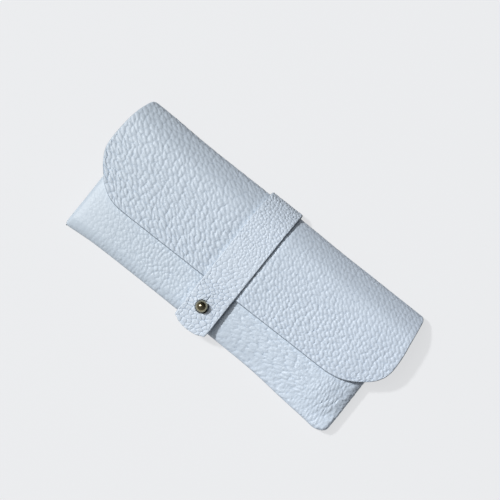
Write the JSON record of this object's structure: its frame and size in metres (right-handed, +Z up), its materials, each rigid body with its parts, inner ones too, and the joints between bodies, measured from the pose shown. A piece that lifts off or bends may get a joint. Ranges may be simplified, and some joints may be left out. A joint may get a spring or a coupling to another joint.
{
  "type": "soft pouch glasses case",
  "caption": "Soft leather pouch for glasses with a folded-over flap and a narrow strap that wraps the fold and buttons on a brass ball stud",
  "frame": {"origin": "middle of the footprint, on the surface that the case's back lies on", "axes": "X along the case, Y from the pouch's bottom edge to the fold of the flap, Z up from the back to the front"},
  "size_m": [0.1868, 0.0828, 0.0203],
  "materials": {
    "back_leather": "powder blue, coarse pebbled grain, soft sheen",
    "front_leather": "powder blue, fine pebbled grain, soft sheen",
    "strap_leather": "powder blue, medium pebbled grain, soft sheen",
    "backing_leather": "powder blue, smooth",
    "brass": "pale antique brass, polished",
    "thread": "pale blue waxed thread"
  },
  "bodies": {
    "pouch": {"back_panel": "back_leather", "front_panel": "front_leather", "strap_tail": "strap_leather", "stud_post": "brass", "stud_screw": "brass", "stud_backing": "backing_leather", "seam_thread": "thread", "strap_thread": "thread"},
    "spine": {"fold_spine": "back_leather", "strap_spine": "strap_leather"},
    "flap": {"flap": "back_leather"},
    "strap": {"strap_front": "strap_leather"}
  },
  "joints": [
    {"name": "flap_open", "type": "hinge", "parent": "pouch", "child": "spine", "pos_m": [0, 0.04014, 0.00126], "axis": [-1, 0, 0], "range_deg": [0, 88]},
    {"name": "flap_turn", "type": "hinge", "parent": "spine", "child": "flap", "pos_m": [0, 0.03879, 0.01059], "axis": [-1, 0, 0], "range_deg": [0, 88]},
    {"name": "strap_lift", "type": "hinge", "parent": "flap", "child": "strap", "pos_m": [-0.0016, 0.03879, 0.01059], "axis": [1, 0, 0], "range_deg": [-90, 0]}
  ],
  "couplings": [
    {"joint": "flap_turn", "follows": "flap_open", "ratio": 1}
  ]
}
